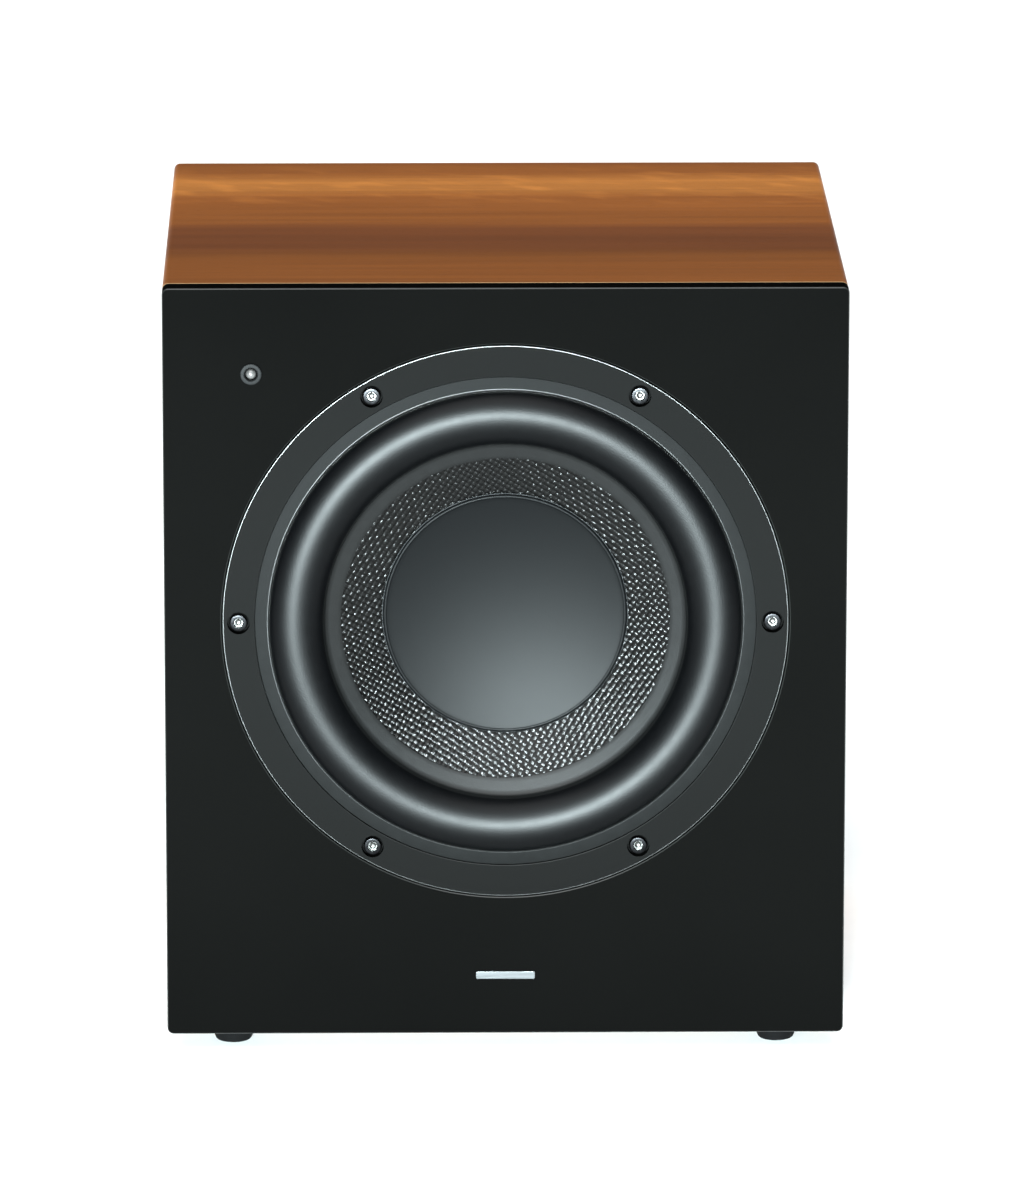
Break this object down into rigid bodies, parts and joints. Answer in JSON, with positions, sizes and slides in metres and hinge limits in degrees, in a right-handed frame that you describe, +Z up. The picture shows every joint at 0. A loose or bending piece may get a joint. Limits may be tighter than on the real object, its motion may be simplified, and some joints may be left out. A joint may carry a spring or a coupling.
{
  "type": "subwoofer",
  "caption": "Wood-veneered box subwoofer with a black front, a large woven-cone driver in a rubber surround, and a plate amplifier with controls on its back.",
  "frame": {"origin": "on the floor under the middle of the whole object's box", "axes": "+Z up, the driver faces -Y, +X is to the right of someone facing the driver"},
  "size_m": [0.32, 0.3353, 0.369],
  "materials": {
    "veneer": "satin",
    "baffle_black": "matte",
    "fibreboard": "matte",
    "wadding": "matte",
    "foot_rubber": "matte",
    "satin_metal": "satin",
    "clear_lens": "gloss",
    "board_green": "satin",
    "cast_basket": "satin",
    "foam": "matte",
    "zinc_steel": "satin",
    "ferrite": "matte",
    "black_plastic": "satin",
    "black_steel": "satin",
    "surround_rubber": "satin",
    "spider_cloth": "matte",
    "tinsel": "satin",
    "woven_cone": "gloss",
    "cap_grey": "satin",
    "former_foil": "satin",
    "copper": "satin",
    "plate_black": "satin",
    "knob_plastic": "satin",
    "fuse_glass": "gloss",
    "cable_sleeve": "satin"
  },
  "bodies": {
    "cabinet": {"top_panel": "veneer", "bottom_panel": "veneer", "left_side_panel": "veneer", "right_side_panel": "veneer", "front_baffle": "baffle_black", "rear_panel": "baffle_black", "inner_baffle": "fibreboard", "window_brace": "fibreboard", "wadding_left": "wadding", "wadding_right": "wadding", "foot_front_left": "foot_rubber", "foot_front_right": "foot_rubber", "foot_rear_left": "foot_rubber", "foot_rear_right": "foot_rubber", "led_bezel": "satin_metal", "badge_plate": "satin_metal", "led_lens": "clear_lens", "led_board": "board_green", "amp_board": "board_green", "basket": "cast_basket", "driver_gasket": "foam", "amp_gasket": "foam", "front_plate": "zinc_steel", "pole_yoke": "zinc_steel", "gain_pot": "zinc_steel", "crossover_pot": "zinc_steel", "phase_switch_frame": "zinc_steel", "power_switch_frame": "zinc_steel", "magnet_ring": "ferrite", "terminal_strip": "black_plastic", "iec_inlet": "black_plastic", "rocker_frame": "black_plastic", "rca_jack_block": "black_plastic", "driver_screw_1": "black_steel", "driver_screw_2": "black_steel", "driver_screw_3": "black_steel", "driver_screw_4": "black_steel", "driver_screw_5": "black_steel", "driver_screw_6": "black_steel", "surround": "surround_rubber", "spider": "spider_cloth", "tinsel_lead_left": "tinsel", "tinsel_lead_right": "tinsel", "transformer": "copper", "amp_plate": "plate_black", "heat_sink": "plate_black", "speaker_cable": "cable_sleeve"},
    "cone_assembly": {"cone": "woven_cone", "dust_cap": "cap_grey", "voice_coil_former": "former_foil", "voice_coil": "copper"},
    "gain_control": {"gain_knob": "knob_plastic", "gain_shaft": "satin_metal"},
    "crossover_control": {"crossover_knob": "knob_plastic", "crossover_shaft": "satin_metal"},
    "phase_switch": {"phase_slider": "black_plastic"},
    "power_mode_switch": {"power_slider": "black_plastic"},
    "mains_switch": {"mains_rocker": "black_plastic"},
    "fuse_holder": {"fuse_drawer": "black_plastic", "fuse": "fuse_glass"}
  },
  "joints": [
    {"name": "cone_excursion", "type": "slide", "parent": "cabinet", "child": "cone_assembly", "axis": [0, -1, 0], "range_m": [-0.009, 0.009], "stiffness_N_per_m": 3400, "deforming": ["surround", "spider", "tinsel_lead_left", "tinsel_lead_right"]},
    {"name": "gain_knob_turn", "type": "hinge", "parent": "cabinet", "child": "gain_control", "pos_m": [0.06, 0.14935, 0.175], "axis": [0, 1, 0], "range_deg": [-150, 150]},
    {"name": "crossover_knob_turn", "type": "hinge", "parent": "cabinet", "child": "crossover_control", "pos_m": [0.02, 0.14935, 0.175], "axis": [0, 1, 0], "range_deg": [-150, 150]},
    {"name": "phase_switch_slide", "type": "slide", "parent": "cabinet", "child": "phase_switch", "axis": [-1, 0, 0], "range_m": [0, 0.005]},
    {"name": "power_mode_slide", "type": "slide", "parent": "cabinet", "child": "power_mode_switch", "axis": [-1, 0, 0], "range_m": [-0.004, 0.004]},
    {"name": "mains_rocker_tilt", "type": "hinge", "parent": "cabinet", "child": "mains_switch", "pos_m": [-0.05, 0.15495, 0.133], "axis": [1, 0, 0], "range_deg": [0, 20]},
    {"name": "fuse_drawer_slide", "type": "slide", "parent": "cabinet", "child": "fuse_holder", "axis": [0, 1, 0], "range_m": [0, 0.02]}
  ]
}
